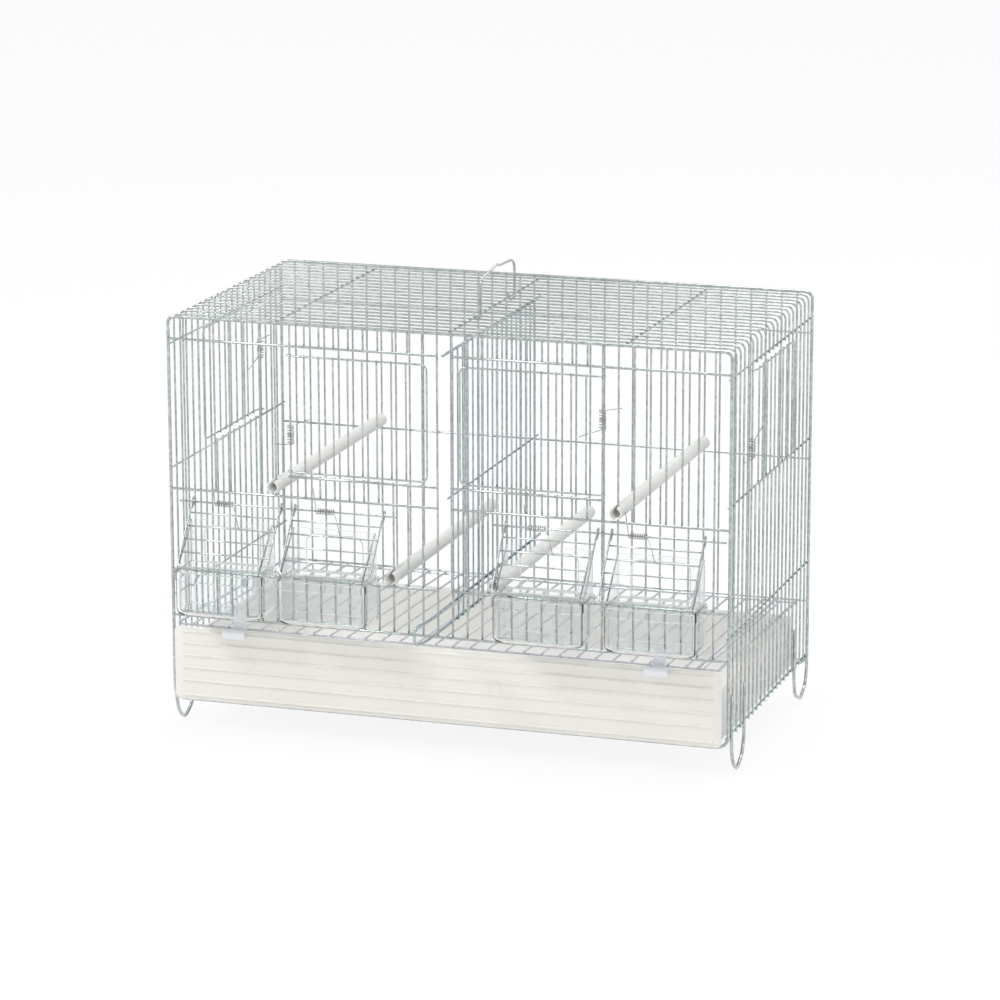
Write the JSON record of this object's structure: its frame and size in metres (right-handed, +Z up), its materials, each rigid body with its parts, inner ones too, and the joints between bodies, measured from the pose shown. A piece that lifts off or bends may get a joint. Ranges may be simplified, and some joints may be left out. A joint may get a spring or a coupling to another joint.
{
  "type": "divided bird cage",
  "caption": "Wire breeding cage for small birds, with a pull-out divider, spring doors, clear feeders under wire flaps, perches, floor grille and tray",
  "frame": {"origin": "centre of the bounding box, at the level that the feet stand on", "axes": "+X to the cage's right as seen from the front, +Y to its back, +Z up; the front, with its doors and feeders, faces -Y"},
  "size_m": [0.5652, 0.3948, 0.4455],
  "materials": {
    "zinc": "bright zinc plating",
    "galvanised": "dull bluish zinc plating",
    "spring_steel": "dark spring wire",
    "cream_plastic": "satin moulded plastic",
    "white_plastic": "satin moulded plastic",
    "clear_plastic": "clear moulded polystyrene"
  },
  "bodies": {
    "cage": {"front_frame": "zinc", "back_frame": "zinc", "front_panel_left": "zinc", "front_panel_right": "zinc", "front_bottom_wire": "zinc", "back_panel": "zinc", "back_middle_wire": "zinc", "back_lower_wire": "zinc", "back_bottom_wire": "zinc", "left_side_grille": "zinc", "left_side_sill_wire": "zinc", "left_side_lower_wire": "zinc", "right_side_grille": "zinc", "right_side_sill_wire": "zinc", "right_side_lower_wire": "zinc", "roof_grille": "zinc", "roof_cross_wire_left": "zinc", "roof_cross_wire_right": "zinc", "flap_rod_left": "zinc", "flap_rod_right": "zinc", "foot_front_left": "zinc", "foot_front_right": "zinc", "foot_back_left": "zinc", "foot_back_right": "zinc", "front_door_spring_left": "spring_steel", "front_door_spring_right": "spring_steel", "side_door_spring_left": "spring_steel", "side_door_spring_right": "spring_steel", "flap_spring_1": "spring_steel", "flap_spring_2": "spring_steel", "flap_spring_3": "spring_steel", "flap_spring_4": "spring_steel", "perch_upper_left": "white_plastic", "perch_upper_right": "white_plastic", "perch_lower_left": "white_plastic", "perch_lower_right": "white_plastic"},
    "carry_handle": {"carry_handle": "zinc"},
    "front_door_left": {"front_door_left": "zinc"},
    "front_door_right": {"front_door_right": "zinc"},
    "side_door_left": {"side_door_left": "zinc"},
    "side_door_right": {"side_door_right": "zinc"},
    "divider": {"divider": "zinc"},
    "floor_grille": {"floor_grille": "galvanised"},
    "tray": {"tray": "cream_plastic", "tray_clip_left": "white_plastic", "tray_clip_right": "white_plastic"},
    "feeder_cup_1": {"feeder_cup_1": "clear_plastic"},
    "feeder_flap_1": {"feeder_flap_1": "zinc"},
    "feeder_cup_2": {"feeder_cup_2": "clear_plastic"},
    "feeder_flap_2": {"feeder_flap_2": "zinc"},
    "feeder_cup_3": {"feeder_cup_3": "clear_plastic"},
    "feeder_flap_3": {"feeder_flap_3": "zinc"},
    "feeder_cup_4": {"feeder_cup_4": "clear_plastic"},
    "feeder_flap_4": {"feeder_flap_4": "zinc"}
  },
  "joints": [
    {"name": "front_door_left_hinge", "type": "hinge", "parent": "cage", "child": "front_door_left", "pos_m": [-0.1543, -0.1059, 0.31895], "axis": [0, 0, -1], "range_deg": [0, 150], "stiffness_Nm_per_rad": 0.012, "springref_deg": -28.65, "deforming": ["front_door_spring_left"]},
    {"name": "front_door_right_hinge", "type": "hinge", "parent": "cage", "child": "front_door_right", "pos_m": [0.1543, -0.1059, 0.31895], "axis": [0, 0, 1], "range_deg": [0, 150], "stiffness_Nm_per_rad": 0.012, "springref_deg": -28.65, "deforming": ["front_door_spring_right"]},
    {"name": "side_door_right_hinge", "type": "hinge", "parent": "cage", "child": "side_door_right", "pos_m": [0.2775, -0.0309, 0.31845], "axis": [0, 0, -1], "range_deg": [0, 150], "stiffness_Nm_per_rad": 0.012, "springref_deg": -28.65, "deforming": ["side_door_spring_right"]},
    {"name": "side_door_left_hinge", "type": "hinge", "parent": "cage", "child": "side_door_left", "pos_m": [-0.2775, 0.1341, 0.31845], "axis": [0, 0, -1], "range_deg": [0, 150], "stiffness_Nm_per_rad": 0.012, "springref_deg": -28.65, "deforming": ["side_door_spring_left"]},
    {"name": "feeder_cup_1_slide", "type": "slide", "parent": "cage", "child": "feeder_cup_1", "axis": [0, -1, 0], "range_m": [0, 0.072]},
    {"name": "feeder_flap_1_hinge", "type": "hinge", "parent": "cage", "child": "feeder_flap_1", "pos_m": [-0.209, -0.1081, 0.226], "axis": [-1, 0, 0], "range_deg": [0, 79.7], "stiffness_Nm_per_rad": 0.004, "springref_deg": -28.65, "deforming": ["flap_spring_1"]},
    {"name": "feeder_cup_2_slide", "type": "slide", "parent": "cage", "child": "feeder_cup_2", "axis": [0, -1, 0], "range_m": [0, 0.072]},
    {"name": "feeder_flap_2_hinge", "type": "hinge", "parent": "cage", "child": "feeder_flap_2", "pos_m": [-0.1055, -0.1081, 0.226], "axis": [-1, 0, 0], "range_deg": [0, 79.7], "stiffness_Nm_per_rad": 0.004, "springref_deg": -28.65, "deforming": ["flap_spring_2"]},
    {"name": "feeder_cup_3_slide", "type": "slide", "parent": "cage", "child": "feeder_cup_3", "axis": [0, -1, 0], "range_m": [0, 0.072]},
    {"name": "feeder_flap_3_hinge", "type": "hinge", "parent": "cage", "child": "feeder_flap_3", "pos_m": [0.1055, -0.1081, 0.226], "axis": [-1, 0, 0], "range_deg": [0, 79.7], "stiffness_Nm_per_rad": 0.004, "springref_deg": -28.65, "deforming": ["flap_spring_3"]},
    {"name": "feeder_cup_4_slide", "type": "slide", "parent": "cage", "child": "feeder_cup_4", "axis": [0, -1, 0], "range_m": [0, 0.072]},
    {"name": "feeder_flap_4_hinge", "type": "hinge", "parent": "cage", "child": "feeder_flap_4", "pos_m": [0.209, -0.1081, 0.226], "axis": [-1, 0, 0], "range_deg": [0, 79.7], "stiffness_Nm_per_rad": 0.004, "springref_deg": -28.65, "deforming": ["flap_spring_4"]},
    {"name": "tray_slide", "type": "slide", "parent": "cage", "child": "tray", "axis": [0, -1, 0], "range_m": [0, 0.28]},
    {"name": "floor_grille_slide", "type": "slide", "parent": "cage", "child": "floor_grille", "axis": [0, -1, 0], "range_m": [0, 0.28]},
    {"name": "divider_slide", "type": "slide", "parent": "cage", "child": "divider", "axis": [0, -1, 0], "range_m": [0, 0.3]},
    {"name": "carry_handle_hinge", "type": "hinge", "parent": "cage", "child": "carry_handle", "pos_m": [0, 0.0441, 0.4035], "axis": [0, 1, 0], "range_deg": [-76, 76]}
  ],
  "couplings": [
    {"joint": "feeder_flap_1_hinge", "follows": "feeder_cup_1_slide", "rad_per_m": 19.3},
    {"joint": "feeder_flap_2_hinge", "follows": "feeder_cup_2_slide", "rad_per_m": 19.3},
    {"joint": "feeder_flap_3_hinge", "follows": "feeder_cup_3_slide", "rad_per_m": 19.3},
    {"joint": "feeder_flap_4_hinge", "follows": "feeder_cup_4_slide", "rad_per_m": 19.3},
    {"joint": "floor_grille_slide", "follows": "tray_slide", "ratio": 1}
  ]
}
